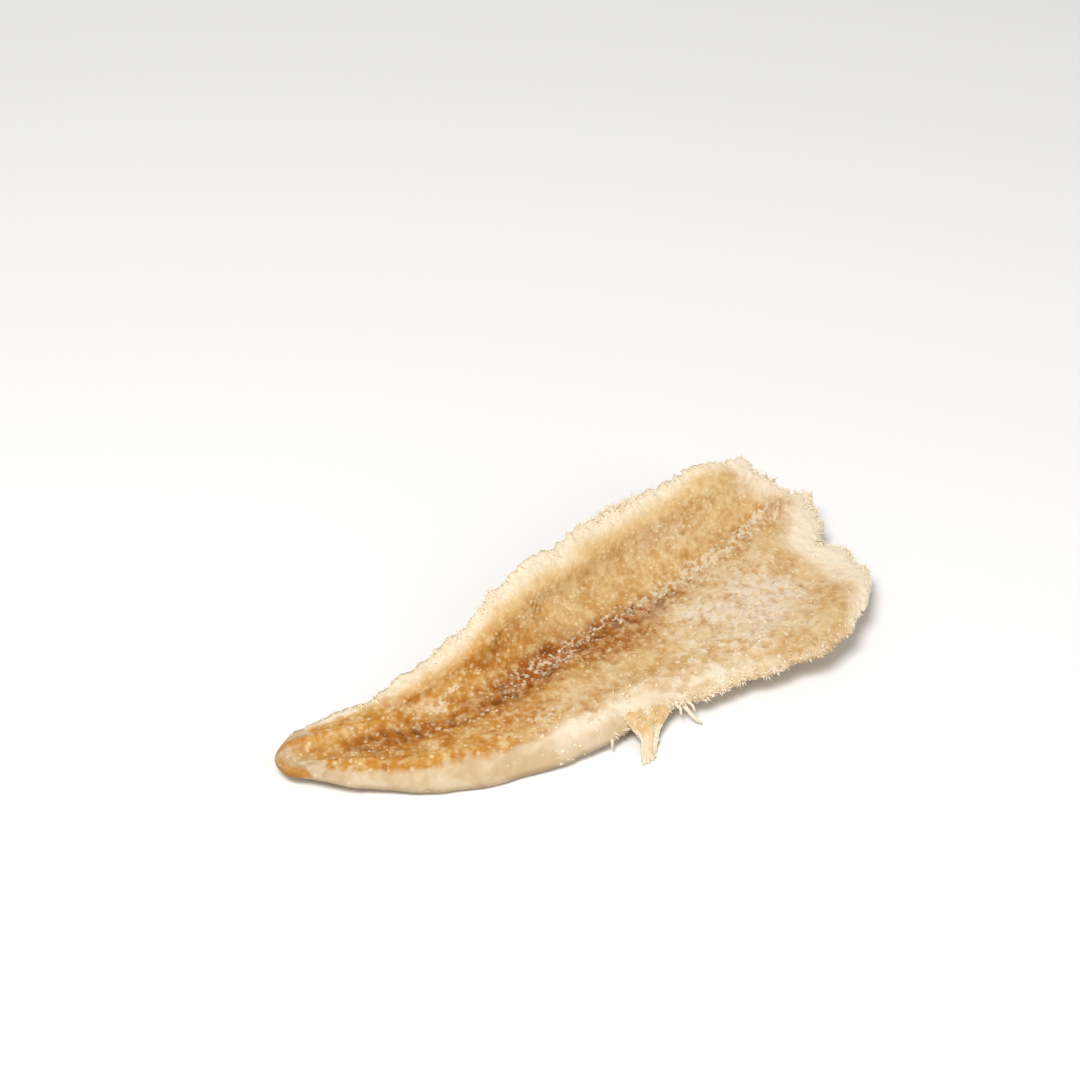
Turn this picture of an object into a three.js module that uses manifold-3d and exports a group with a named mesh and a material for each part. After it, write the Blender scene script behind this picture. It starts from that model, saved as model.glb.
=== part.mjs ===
// Dried, salted fillet of a small white fish, lying skin down.
//
// The fillet is one piece of flesh on its skin. It is thick and blunt where it was cut at the tail and
// thin and torn at the wide end. Drying has cupped it along its midline: the far side stands up in a
// high curl and the near side spreads out low. A flap of torn membrane hangs from the near edge to the
// surface that the fillet lies on.
//
// Frame, millimetres: +X from the tail cut to the wide end, +Y from the near edge to the far curl, +Z up.
// The origin is on the resting surface, under the centre of the bounding box.

import * as THREE from 'three';
import { mergeVertices } from 'three/addons/utils/BufferGeometryUtils.js';
import Module from 'manifold-3d';

// ---- Driving dimensions, mm and degrees ----

const LENGTH = 122;           // tail cut to wide end, before the cuts' own outlines
const FAR_WIDTH = 22;         // midline to far rim, along the skin
const NEAR_WIDTH = 36;        // midline to near rim, along the skin
const MIDLINE_SWAY = 6.5;     // how far the midline wanders sideways
const THICKNESS = 5.6;        // flesh and skin together, where thickest
const FAR_CURL = 85;          // steepest lean of the far rim
const NEAR_CURL = 27;         // steepest lean of the near rim
const KEEL_TILT = 8;          // sideways lean of the skin under the midline
const KEEL_HEIGHT = 0.2;      // skin above the surface under the middle of the midline
const TAIL_LIFT = 2;          // how much higher it is at the tail cut
const WIDE_LIFT = 4.6;        // how much higher it is at the wide end
const LIFTED_TAIL = 22;       // length of the tail that rises off the surface
const LIFTED_WIDE = 46;       // length of the wide end that rises off the surface
const GROOVE_DEPTH = 1;       // furrow along the midline
const GROOVE_HALF_WIDTH = 2.2;
const RIM_SWELL = 0.9;        // extra thickness of the puffed rims
const TAIL_ROUNDING = 5.5;    // length of the blunt tail edge's rounding
const WIDE_ROUNDING = 3.7;    // length of the torn edge's thinning
const TAIL_CUT_REACH = 15;    // how far in the tail cut's outline fades out
const WIDE_CUT_REACH = 30;    // how far in the torn edge's outline fades out
const RIPPLE = 0.35;          // waviness of both rims

const FLAP_ROOT_WIDTH = 11;   // torn membrane, where it leaves the near edge
const FLAP_NECK_WIDTH = 7;    // just outside the near rim
const FLAP_WAIST_WIDTH = 4;
const FLAP_FOOT_WIDTH = 3.4;
const FLAP_THICKNESS = 1.3;
const FLAP_REACH = 7;         // from the near rim out to the foot, over the surface
const FLAP_STATION = 0.51;    // place along the fillet, from tail 0 to wide end 1
const FLAP_SLANT = 5;         // how far the foot trails towards the tail
const FLAP_EMBED = 4;         // how far its root runs in under the rim

const ALONG = 58;             // grid cells along the fillet
const ACROSS = 30;            // grid cells from rim to rim

// ---- Shape along the fillet, as shares of the driving dimensions ----

const STATIONS = [0.00, 0.06, 0.16, 0.28, 0.42, 0.56, 0.72, 0.88, 1.00];
const midlineShare = curve(STATIONS, [-0.23, -0.46, -0.69, -0.69, -0.38, 0.15, 0.69, 0.92, 1.00]);
const farShare = curve(STATIONS, [0.18, 0.30, 0.43, 0.59, 0.89, 1.00, 0.98, 0.91, 0.75]);
const nearShare = curve(STATIONS, [0.17, 0.31, 0.46, 0.60, 0.69, 0.78, 0.96, 1.00, 0.81]);
const thicknessShare = curve(STATIONS, [0.63, 0.89, 1.00, 1.00, 0.96, 0.93, 0.89, 0.75, 0.46]);
const farCurlShare = curve(STATIONS, [0.59, 0.76, 0.88, 0.94, 1.00, 1.00, 0.94, 0.82, 0.65]);
const nearCurlShare = curve(STATIONS, [0.74, 0.74, 0.59, 0.52, 0.74, 0.96, 1.00, 0.89, 0.59]);

// How blunt the near edge is: a high power keeps the thickness up to the rim.
const nearBluntness = curve(STATIONS, [5.0, 6.0, 7.0, 7.0, 5.5, 4.0, 3.6, 3.4, 3.0]);
const FAR_BLUNTNESS = 5;

// Outlines of the two ends, mm along +X, from the near rim (-1) over the midline (0) to the far rim (1).
const tailCut = curve([-1, -0.6, 0, 0.5, 1], [1.0, -1.5, -2.2, -1.2, 2.0]);
const wideCut = curve(
  [-1, -0.8, -0.62, -0.45, -0.3, -0.1, 0.15, 0.5, 1],
  [-9, -3, -1.5, -2, -3.5, -1, 0.5, -3.5, -9],
);

// A smooth curve through the given points, with the slope at each point taken from its neighbours.
function curve(xs, ys) {
  const last = xs.length - 1;
  const slope = (i) => {
    const a = Math.max(i - 1, 0);
    const b = Math.min(i + 1, last);
    return (ys[b] - ys[a]) / (xs[b] - xs[a]);
  };
  return (x) => {
    let i = 0;
    while (i < last - 1 && x > xs[i + 1]) i += 1;
    const width = xs[i + 1] - xs[i];
    const s = (x - xs[i]) / width;
    const rise = ys[i + 1] - ys[i];
    const bendA = slope(i) * width - rise;
    const bendB = rise - slope(i + 1) * width;
    return ys[i] + rise * s + s * (1 - s) * (bendA * (1 - s) + bendB * s);
  };
}

// Height of the skin under the midline: both ends are lifted clear of the surface.
function keelHeight(u) {
  const tail = TAIL_LIFT * Math.max(1 - (u * LENGTH) / LIFTED_TAIL, 0) ** 2;
  const wide = WIDE_LIFT * Math.max(1 - ((1 - u) * LENGTH) / LIFTED_WIDE, 0) ** 1.7;
  return KEEL_HEIGHT + tail + wide;
}

// Width of one side along the skin, from the midline to its wavy rim.
function sideWidth(u, far) {
  const ripple = Math.sin(31 * u + (far ? 0 : 2)) + 0.6 * Math.sin(67 * u + (far ? 1 : 4));
  return (far ? FAR_WIDTH * farShare(u) : NEAR_WIDTH * nearShare(u)) + RIPPLE * ripple;
}

// Point on the skin at station u (0 tail, 1 wide end) and share t (-1 near rim, 1 far rim), with the
// lean of the skin there. The skin leaves the midline almost flat and leans more towards each rim.
function skinPoint(u, t) {
  const far = t >= 0;
  const width = sideWidth(u, far);
  const start = THREE.MathUtils.degToRad(far ? KEEL_TILT : -KEEL_TILT);
  const end = THREE.MathUtils.degToRad(far ? FAR_CURL * farCurlShare(u) : NEAR_CURL * nearCurlShare(u));
  const power = far ? 0.9 : 1.4;
  const steps = 24;
  const step = (Math.abs(t) * width) / steps;
  const lean = (k) => start + (end - start) * ((Math.abs(t) * k) / steps) ** power;
  let out = 0;
  let up = 0;
  for (let k = 0; k < steps; k += 1) {
    out += step * Math.cos(lean(k + 0.5));
    up += step * Math.sin(lean(k + 0.5));
  }
  const wideShare = THREE.MathUtils.clamp(1 - ((1 - u) * LENGTH) / WIDE_CUT_REACH, 0, 1) ** 1.5;
  const tailShare = THREE.MathUtils.clamp(1 - (u * LENGTH) / TAIL_CUT_REACH, 0, 1) ** 1.5;
  const x = LENGTH * (u - 0.5) + wideCut(t) * wideShare + tailCut(t) * tailShare;
  const y = MIDLINE_SWAY * midlineShare(u) + (far ? out : -out);
  const z = Math.max(keelHeight(u) + up, 0);
  return { x, y, z, lean: far ? lean(steps) : -lean(steps) };
}

// A quarter-circle easing, for edges that are round in section.
function rounding(distance, reach) {
  const s = Math.min(distance / reach, 1);
  return Math.sqrt(Math.max(1 - (1 - s) ** 2, 0));
}

// Thickness over the skin: full over most of the width, furrowed at the midline, puffed near the rims.
function thicknessAt(u, t) {
  const across = Math.sqrt(Math.max(1 - Math.abs(t) ** (t >= 0 ? FAR_BLUNTNESS : nearBluntness(u)), 0));
  const fromMidline = Math.abs(t) * sideWidth(u, t >= 0);
  const furrow = GROOVE_DEPTH * Math.exp(-((fromMidline / GROOVE_HALF_WIDTH) ** 2));
  const swell = RIM_SWELL * Math.exp(-(((Math.abs(t) - 0.82) / 0.16) ** 2));
  const ends = rounding(u * LENGTH, TAIL_ROUNDING) * rounding((1 - u) * LENGTH, WIDE_ROUNDING);
  const flesh = THICKNESS * thicknessShare(u);
  return Math.max((flesh + swell) * across - furrow, 0) * ends;
}

// The fillet as a top and a bottom grid that share their border.
function filletGeometry() {
  const place = [];
  const index = [];
  const rows = ALONG + 1;
  const columns = ACROSS + 1;
  const station = (i) => {
    const even = i / ALONG;
    const crowded = 0.5 - 0.5 * Math.cos(Math.PI * even);
    return THREE.MathUtils.lerp(even, crowded, 0.6);
  };
  const share = (j) => {
    const even = 2 * (j / ACROSS) - 1;
    return THREE.MathUtils.lerp(even, Math.sin((Math.PI / 2) * even), 0.7);
  };
  const top = [];
  const bottom = [];
  const addVertex = (x, y, z) => place.push(x, y, z) / 3 - 1;
  for (let i = 0; i < rows; i += 1) {
    for (let j = 0; j < columns; j += 1) {
      const u = station(i);
      const t = share(j);
      const skin = skinPoint(u, t);
      const onBorder = i === 0 || i === ALONG || j === 0 || j === ACROSS;
      const under = addVertex(skin.x, skin.y, skin.z);
      bottom.push(under);
      if (onBorder) {
        top.push(under);
      } else {
        const depth = thicknessAt(u, t);
        const over = [skin.x, skin.y - Math.sin(skin.lean) * depth, skin.z + Math.cos(skin.lean) * depth];
        top.push(addVertex(...over));
      }
    }
  }
  for (let i = 0; i < ALONG; i += 1) {
    for (let j = 0; j < ACROSS; j += 1) {
      const a = i * columns + j;
      const b = a + columns;
      index.push(top[a], top[b], top[b + 1], top[a], top[b + 1], top[a + 1]);
      index.push(bottom[a], bottom[b + 1], bottom[b], bottom[a], bottom[a + 1], bottom[b + 1]);
    }
  }
  return closedGeometry(place, index);
}

// The torn membrane: oval sections along a route from inside the near edge down to the surface.
// Each section lies out from the rim by a share of the reach and at a share of the rim's height.
function flapGeometry() {
  const rim = skinPoint(FLAP_STATION, -1);
  const half = FLAP_THICKNESS / 2;
  const section = (out, height, width) => ({
    at: [rim.x - FLAP_SLANT * out, rim.y - FLAP_REACH * out, rim.z * height + half],
    width,
  });
  const root = section(0, 1, FLAP_ROOT_WIDTH);
  root.at[1] += FLAP_EMBED;
  const sections = [
    root,
    section(0, 1, FLAP_ROOT_WIDTH),
    section(0.25, 0.8, FLAP_NECK_WIDTH),
    section(0.6, 0.4, FLAP_WAIST_WIDTH),
    section(0.92, 0, FLAP_FOOT_WIDTH),
    section(1, 0, 0.6 * FLAP_FOOT_WIDTH),
  ];
  const around = 12;
  const place = [];
  const index = [];
  for (const { at, width } of sections) {
    for (let k = 0; k < around; k += 1) {
      const angle = (2 * Math.PI * k) / around;
      place.push(at[0] + (width / 2) * Math.cos(angle), at[1], at[2] + half * Math.sin(angle));
    }
  }
  for (let s = 0; s < sections.length - 1; s += 1) {
    for (let k = 0; k < around; k += 1) {
      const a = s * around + k;
      const b = s * around + ((k + 1) % around);
      index.push(a, b, b + around, a, b + around, a + around);
    }
  }
  const lastRing = (sections.length - 1) * around;
  for (let k = 1; k < around - 1; k += 1) {
    index.push(0, k + 1, k);
    index.push(lastRing, lastRing + k, lastRing + k + 1);
  }
  return closedGeometry(place, index);
}

function closedGeometry(place, index) {
  const geometry = new THREE.BufferGeometry();
  geometry.setAttribute('position', new THREE.Float32BufferAttribute(place, 3));
  geometry.setIndex(index);
  return geometry;
}

// ---- Joining ----

const wasm = await Module();
wasm.setup();

function toSolid(geometry) {
  const merged = mergeVertices(geometry, 1e-5);
  return new wasm.Manifold(new wasm.Mesh({
    numProp: 3,
    vertProperties: new Float32Array(merged.attributes.position.array),
    triVerts: new Uint32Array(merged.index.array),
  }));
}

function fromSolid(solid) {
  const mesh = solid.getMesh();
  const geometry = new THREE.BufferGeometry();
  geometry.setAttribute('position', new THREE.Float32BufferAttribute(mesh.vertProperties, 3));
  geometry.setIndex(new THREE.Uint32BufferAttribute(mesh.triVerts, 1));
  return geometry;
}

// ---- The part ----

const geometry = fromSolid(toSolid(filletGeometry()).add(toSolid(flapGeometry())));
geometry.computeBoundingBox();
const centre = geometry.boundingBox.getCenter(new THREE.Vector3());
geometry.translate(-centre.x, -centre.y, -geometry.boundingBox.min.z);
geometry.computeVertexNormals();

const driedFlesh = new THREE.MeshStandardMaterial({ color: 0xdcb67c, roughness: 0.75, metalness: 0 });

const fillet = new THREE.Mesh(geometry, driedFlesh);
fillet.name = 'fish_fillet';

const group = new THREE.Group();
group.add(fillet);

export default group;
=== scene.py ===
"""A dried, salted fish fillet, lying skin down on a pale surface.

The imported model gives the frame. Lengths in millimetres are in names that end in _mm or _MM, and are made
metres as they reach Blender. The fillet comes first, then its salt, its frayed edges and its torn membrane.
"""

import bpy
import numpy as np
from mathutils import Matrix, Vector


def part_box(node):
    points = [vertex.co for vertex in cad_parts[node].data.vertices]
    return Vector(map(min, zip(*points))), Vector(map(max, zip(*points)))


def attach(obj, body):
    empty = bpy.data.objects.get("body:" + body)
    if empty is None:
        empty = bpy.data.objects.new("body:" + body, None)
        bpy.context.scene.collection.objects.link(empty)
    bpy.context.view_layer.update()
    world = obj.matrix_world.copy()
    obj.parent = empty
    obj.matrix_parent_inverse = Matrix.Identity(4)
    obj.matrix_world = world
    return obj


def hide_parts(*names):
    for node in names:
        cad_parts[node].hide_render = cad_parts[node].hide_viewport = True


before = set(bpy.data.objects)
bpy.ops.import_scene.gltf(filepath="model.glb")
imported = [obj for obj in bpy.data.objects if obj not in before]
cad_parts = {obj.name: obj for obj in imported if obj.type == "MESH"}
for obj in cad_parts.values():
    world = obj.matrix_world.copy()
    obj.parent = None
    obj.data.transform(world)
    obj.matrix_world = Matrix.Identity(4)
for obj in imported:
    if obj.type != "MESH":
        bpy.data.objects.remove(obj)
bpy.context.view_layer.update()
cad_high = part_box("fish_fillet")[1]
MM = 0.001


# ---------------------------------------------------------------------------------------------------
# The fillet: one side of a small white fish, cut off at the tail, torn at the wide end, salted and
# dried. Drying has cupped it along its midline and puffed up both rims. Its shape follows the packed
# model, with the flaky flesh, the ragged edges and the fine grain of the surface added.
# ---------------------------------------------------------------------------------------------------

LENGTH_MM = 122
FAR_WIDTH_MM = 22
NEAR_WIDTH_MM = 36
MIDLINE_SWAY_MM = 6.5
THICKNESS_MM = 5.6
FAR_CURL = 85
NEAR_CURL = 27
KEEL_TILT = 8
KEEL_HEIGHT_MM = 0.2
TAIL_LIFT_MM = 2
WIDE_LIFT_MM = 4.6
LIFTED_TAIL_MM = 22
LIFTED_WIDE_MM = 46
GROOVE_DEPTH_MM = 0.5
GROOVE_HALF_WIDTH_MM = 3.6
TEETH_REACH_MM = 6
RIM_SWELL_MM = 0.9
TAIL_ROUNDING_MM = 2.4
WIDE_ROUNDING_MM = 3.7
TAIL_CUT_REACH_MM = 15
WIDE_CUT_REACH_MM = 30
RIPPLE_MM = 0.35

# The teeth and notches of the torn end: place and size as shares of the width, and reach in mm.
TORN_TEETH = [
    (0.25, 0.06, 2.2),
    (-0.11, 0.06, 1.3),
    (-0.30, 0.05, -1.8),
    (-0.42, 0.05, 1.0),
    (-0.56, 0.05, -0.9),
    (0.62, 0.03, 0.9),
]

LINES_ALONG = 440
LINES_ACROSS = 168
SOFTENED_LINES = 11


def curve(xs, ys):
    """A smooth curve through the given points, with the slope at each point taken from its neighbours."""
    xs = np.array(xs, float)
    ys = np.array(ys, float)
    last = len(xs) - 1
    before = np.maximum(np.arange(last + 1) - 1, 0)
    after = np.minimum(np.arange(last + 1) + 1, last)
    slope = (ys[after] - ys[before]) / (xs[after] - xs[before])

    def at(x):
        i = np.clip(np.searchsorted(xs, x, side="left") - 1, 0, last - 1)
        width = xs[i + 1] - xs[i]
        s = (x - xs[i]) / width
        rise = ys[i + 1] - ys[i]
        bend_a = slope[i] * width - rise
        bend_b = rise - slope[i + 1] * width
        return ys[i] + rise * s + s * (1 - s) * (bend_a * (1 - s) + bend_b * s)

    return at


STATIONS = [0.00, 0.06, 0.16, 0.28, 0.42, 0.56, 0.72, 0.88, 1.00]
midline_share = curve(STATIONS, [-0.23, -0.46, -0.69, -0.69, -0.38, 0.15, 0.69, 0.92, 1.00])
far_share = curve(STATIONS, [0.18, 0.30, 0.43, 0.59, 0.89, 1.00, 0.98, 0.91, 0.75])
near_share = curve(STATIONS, [0.17, 0.31, 0.46, 0.60, 0.69, 0.78, 0.96, 1.00, 0.81])
thickness_share = curve(STATIONS, [0.63, 0.89, 1.00, 1.00, 0.96, 0.93, 0.89, 0.75, 0.46])
far_curl_share = curve(STATIONS, [0.59, 0.76, 0.88, 0.94, 1.00, 1.00, 0.94, 0.82, 0.65])
near_curl_share = curve(STATIONS, [0.74, 0.74, 0.59, 0.52, 0.74, 0.96, 1.00, 0.89, 0.59])
near_bluntness = curve(STATIONS, [5.0, 6.0, 7.0, 7.0, 5.5, 4.0, 3.6, 3.4, 3.0])
FAR_BLUNTNESS = 5
tail_cut = curve([-1, -0.6, 0, 0.5, 1], [1.0, -1.5, -2.2, -1.2, 2.0])
seam_line = curve([0, 0.10, 0.20, 0.30, 0.38, 0.45, 0.55, 0.65, 0.75, 0.90, 1.00],
                  [-0.25, -0.28, -0.28, -0.24, -0.16, -0.07, -0.08, -0.09, -0.05, 0.05, 0.10])
wide_cut = curve([-1, -0.8, -0.62, -0.45, -0.3, -0.1, 0.15, 0.5, 1],
                 [-9, -3, -1.5, -2, -3.5, -1, 0.5, -3.5, -9])


def lumps(points, size, seed):
    """Smooth random values from -1 to 1 at points (n, 3), with swellings about size across."""
    table = np.random.default_rng(seed).uniform(-1, 1, (32, 32, 32))
    place = points / size
    cell = np.floor(place).astype(int)
    part = place - cell
    part = part * part * (3 - 2 * part)
    value = np.zeros(len(points))
    for corner in np.ndindex(2, 2, 2):
        weight = np.ones(len(points))
        for axis in range(3):
            weight *= part[:, axis] if corner[axis] else 1 - part[:, axis]
        i, j, k = ((cell + corner) % 32).T
        value += weight * table[i, j, k]
    return value


def ramp(low, high, x):
    """0 below low, 1 above high, smooth between."""
    s = np.clip((x - low) / (high - low), 0, 1)
    return s * s * (3 - 2 * s)


def bump(centre, width, x):
    """1 at the centre, falling off smoothly to almost nothing at twice the width."""
    return np.exp(-(((x - centre) / width) ** 2))


def rounding(distance, reach):
    """The height of a quarter round at a distance from the edge, from 0 there to 1 past its reach."""
    s = np.clip(distance / reach, 0, 1)
    return np.sqrt(np.clip(1 - (1 - s) ** 2, 0, 1))


def seam_place(u):
    """Where the seam runs, in mm along the arc from the keel line, towards the far rim."""
    share = seam_line(u)
    return share * side_width(u, share >= 0)


def side_width(u, far):
    """The width in mm from the keel line to the rim, along the arc, with a slight ripple."""
    ripple = np.sin(31 * u + np.where(far, 0, 2)) + 0.6 * np.sin(67 * u + np.where(far, 1, 4))
    plain = np.where(far, FAR_WIDTH_MM * far_share(u), NEAR_WIDTH_MM * near_share(u))
    return plain + RIPPLE_MM * ripple


def skin_points(u, t, ragged):
    """Points on the skin and the skin's lean, for arrays of stations u and shares t. With ragged the
    rims and the torn end get their fine, uneven outline."""
    far = t >= 0
    width = side_width(u, far)
    end_out = wide_cut(t)
    tooth = 0
    if ragged:
        flat = np.stack([u.ravel() * LENGTH_MM, t.ravel() * 0, t.ravel() * 0], 1)
        swell = np.where(far, 0.12 + 0.18 * ramp(0.1, 0.3, u), 0.12).ravel() * lumps(flat, 2.3, 11)
        fringe = 0.35 * lumps(flat, 1.0, 12) + 0.55 * np.maximum(lumps(flat, 0.75, 15), 0)
        fringe = fringe * np.where(far, 0.3 + 0.7 * ramp(0.1, 0.3, u), ramp(0.40, 0.50, u)).ravel()
        tooth = (swell + fringe).reshape(u.shape) * ramp(0.86, 1, np.abs(t))
        across = np.stack([t.ravel() * 26, t.ravel() * 0, t.ravel() * 0], 1)
        torn = 0.6 * lumps(across, 2.0, 13) + 0.5 * lumps(across, 0.9, 14)
        torn = torn + 0.6 * np.maximum(lumps(across, 0.6, 16), 0)
        teeth = torn.reshape(u.shape) * ramp(-0.85, -0.6, t) * ramp(0.93, 1, u)
        for place, size, reach in TORN_TEETH:
            teeth = teeth + reach * bump(place, size, t)
    start = np.radians(np.where(far, KEEL_TILT, -KEEL_TILT))
    end = np.radians(np.where(far, FAR_CURL * far_curl_share(u), NEAR_CURL * near_curl_share(u)))
    power = np.where(far, 0.9, 1.4)
    steps = 24
    step = (np.abs(t) * width + tooth) / steps
    out = np.zeros(u.shape)
    up = np.zeros(u.shape)
    for k in range(steps):
        lean = start + (end - start) * (np.abs(t) * (k + 0.5) / steps) ** power
        out += step * np.cos(lean)
        up += step * np.sin(lean)
    lean = start + (end - start) * np.abs(t) ** power
    wide = np.clip(1 - (1 - u) * LENGTH_MM / WIDE_CUT_REACH_MM, 0, 1) ** 1.5
    tail = np.clip(1 - u * LENGTH_MM / TAIL_CUT_REACH_MM, 0, 1) ** 1.5
    keel = KEEL_HEIGHT_MM
    keel = keel + TAIL_LIFT_MM * np.clip(1 - u * LENGTH_MM / LIFTED_TAIL_MM, 0, 1) ** 2
    keel = keel + WIDE_LIFT_MM * np.clip(1 - (1 - u) * LENGTH_MM / LIFTED_WIDE_MM, 0, 1) ** 1.7
    x = LENGTH_MM * (u - 0.5) + end_out * wide + tail_cut(t) * tail
    if ragged:
        x = x + teeth * np.clip(1 - (1 - u) * LENGTH_MM / TEETH_REACH_MM, 0, 1) ** 1.5
    y = MIDLINE_SWAY_MM * midline_share(u) + np.where(far, out, -out)
    z = np.maximum(keel + up, 0)
    return np.stack([x, y, z], -1), np.where(far, lean, -lean)


def thickness(u, t):
    """How thick the flesh is, in mm: blunt at the rims, puffed just inside them, furrowed on the seam."""
    blunt = np.where(t >= 0, FAR_BLUNTNESS, near_bluntness(u))
    across = np.sqrt(np.clip(1 - np.abs(t) ** blunt, 0, 1))
    furrow = GROOVE_DEPTH_MM * bump(0, GROOVE_HALF_WIDTH_MM, t * side_width(u, t >= 0) - seam_place(u))
    swell = RIM_SWELL_MM * bump(0.82, 0.16, np.abs(t))
    ends = rounding(u * LENGTH_MM, TAIL_ROUNDING_MM) * rounding((1 - u) * LENGTH_MM, WIDE_ROUNDING_MM)
    return np.clip((THICKNESS_MM * thickness_share(u) + swell) * across - furrow, 0, None) * ends


def off_skin(skin, depth, lean):
    """Points depth mm above the skin, square to its lean."""
    return skin + depth[..., None] * np.stack([np.zeros_like(lean), -np.sin(lean), np.cos(lean)], -1)


def soften(values, reach):
    """Averages values across the fillet, over reach grid lines on either side."""
    padded = np.pad(values, ((0, 0), (reach + 1, reach)), mode="edge")
    total = np.cumsum(padded, axis=1)
    window = 2 * reach + 1
    return (total[:, window:] - total[:, :-window]) / window


def grid_normals(points):
    """Which way is outwards at each point of a grid over the flesh."""
    along = np.gradient(points, axis=0)
    across = np.gradient(points, axis=1)
    normal = np.cross(along, across)
    return normal / np.maximum(np.linalg.norm(normal, axis=-1, keepdims=True), 1e-9)


even = np.linspace(0, 1, LINES_ALONG + 1)
stations = even + 0.35 * (0.5 - 0.5 * np.cos(np.pi * even) - even)
even = np.linspace(-1, 1, LINES_ACROSS + 1)
shares = even + 0.45 * (np.sin(np.pi / 2 * even) - even)
U, T = np.meshgrid(stations, shares, indexing="ij")

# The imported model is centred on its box; the far rim and the wide end fix the same place here.
smooth_skin, smooth_lean = skin_points(U, T, ragged=False)
depth_mm = thickness(U, T)
smooth_top = off_skin(smooth_skin, depth_mm, smooth_lean)
shift_mm = np.array([
    cad_high.x / MM - max(smooth_top[..., 0].max(), smooth_skin[..., 0].max()),
    cad_high.y / MM - max(smooth_top[..., 1].max(), smooth_skin[..., 1].max()),
    0.0,
])

skin_mm, lean = skin_points(U, T, ragged=True)
lean = soften(soften(lean, SOFTENED_LINES), SOFTENED_LINES)
flesh_mm = off_skin(skin_mm, depth_mm, lean)
skin_mm = skin_mm + shift_mm
flesh_mm = flesh_mm + shift_mm

# What the flesh is like at each place, as shares from 0 to 1.
flesh_places = flesh_mm.reshape(-1, 3)


def wander(size, seed):
    """Smooth random values over the flesh, from -1 to 1, with swellings about size mm across."""
    return lumps(flesh_places, size, seed).reshape(U.shape)


def along(stations, values):
    """A value that changes along the fillet, given at some stations."""
    return curve(stations, values)(U)


drift = 0.05 * wander(6.0, 21) + 0.03 * wander(2.2, 22)
side_mm = side_width(U, T >= 0)


def patch(station, length, share, width, edge=drift):
    """A soft oval patch round a station and a share, with an edge that wanders unless it is given."""
    return bump(station, length, U) * bump(share, width, T + edge)


def distance_mm(station, share, width_mm):
    """How far each place is from a station and a share, on the side that is about width_mm wide."""
    return np.hypot((U - station) * LENGTH_MM, (T - share) * width_mm)


# The rims: dried pale, widest past the middle on the far side; the torn end is pale all over.
far_start = along([0, 0.10, 0.20, 0.27, 0.36, 0.44, 0.52, 0.60, 0.70, 0.80, 0.90, 1],
                  [0.92, 0.93, 0.82, 0.71, 0.74, 0.70, 0.62, 0.57, 0.60, 0.76, 0.84, 0.7])
rim = ramp(0, 1, (T + 0.8 * drift - far_start) / (1.02 - far_start))
torn_end = ramp(0.905, 0.965, U + 0.5 * drift + 0.02 * np.abs(T))
torn_end *= 1 - 0.85 * bump(0.95, 0.028, U) * bump(0.28, 0.18, T)
tail_tip = 1 - ramp(0.027, 0.041, U + 0.3 * drift)
tip_amber = np.maximum(ramp(0.3, 0.45, T + drift) * (1 - ramp(0.75, 0.9, T)),
                       (1 - ramp(0.004, 0.009, U)) * (T < 0))

# The near flank: plain beige, with a whiter, fluffy ridge where it meets the flesh. Past it are torn
# flecks and a small ring-shaped fold, white like the ridge.
flank_start = along([0, 0.10, 0.15, 0.20, 0.25, 0.35, 0.45, 0.55, 0.65, 0.75, 1],
                    [0.90, 0.92, 0.89, 0.86, 0.85, 0.86, 0.86, 0.86, 0.90, 0.94, 0.97])
flank = ramp(-0.02, 0.04, -T - flank_start + 0.7 * drift + 0.02 * wander(1.2, 37))
flank *= 1 - 0.8 * ramp(0.46, 0.66, U)
ridge = ramp(0.28, 0.40, U) * (1 - 0.6 * ramp(0.66, 0.78, U)) * bump(0.03, 0.085, -T - flank_start + drift)
ridge *= 0.25 + 0.75 * ramp(-0.55, 0.5, wander(3.6, 38) + 0.7 * wander(1.3, 39))
torn_flecks = ramp(0.05, 0.45, wander(1.9, 55) + 0.5 * wander(0.8, 56))
ridge += 0.75 * patch(0.655, 0.075, -0.70, 0.16, 0) * torn_flecks
fold = distance_mm(0.735, -0.85, 1.4 * NEAR_WIDTH_MM) + 0.8 * wander(1.7, 57)
ridge = np.clip(ridge + 0.75 * bump(2.1, 0.7, fold) * (0.4 + 0.6 * torn_flecks), 0, 1)

# The flesh: deep amber towards the tail, a brown seam along the midline with a few brown patches by it,
# and a grey, mottled field on the near side of the wide end. Grey dust and flecks lie along the seam.
farther = 0.12 * ramp(-0.25, 0, T)
deep = 1 - ramp(0.23 + farther, 0.49 + 0.6 * farther, U + drift)
deep = deep * (1 - 0.3 * bump(0.255, 0.03, U) * ramp(-0.1, 0.1, T)) * (0.85 + 0.15 * ramp(0.06, 0.12, U))
# Painted light: less deep amber high on the far wall past the middle, lightening the wall where it turns
# away from the overhead light.
deep = deep * (1 - ramp(0.52, 0.70, T) * ramp(0.37, 0.43, U))
strength = along([0, 0.07, 0.12, 0.18, 0.25, 0.30, 0.36, 0.42, 0.47, 0.56, 0.65, 0.72, 0.80, 0.90, 1],
                 [0, 0.35, 0.85, 0.85, 0.60, 0.65, 0.88, 1.0, 1.0, 0.78, 0.78, 0.45, 0.22, 0.10, 0])
astray = T * side_mm - seam_place(U) + 0.9 * wander(9.0, 23) + 0.7 * wander(3.2, 24) + 0.5 * wander(1.3, 25)
seam = strength * (0.45 * bump(0, 2.3, astray) + 0.55 * bump(0, 6.0, astray))
far_patch = bump(0.355, 0.042, U + 0.3 * drift - 0.06 * (T - 0.6)) * bump(0.48, 0.14, T + drift)
brown = seam + 0.64 * far_patch
brown = brown + 0.60 * patch(0.55, 0.08, -0.31, 0.17) + 0.38 * patch(0.40, 0.085, 0.08, 0.30)
brown = brown + 0.55 * patch(0.95, 0.03, 0.25, 0.14, 0) + 0.36 * patch(0.85, 0.07, 0.08, 0.2, 0)
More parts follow.
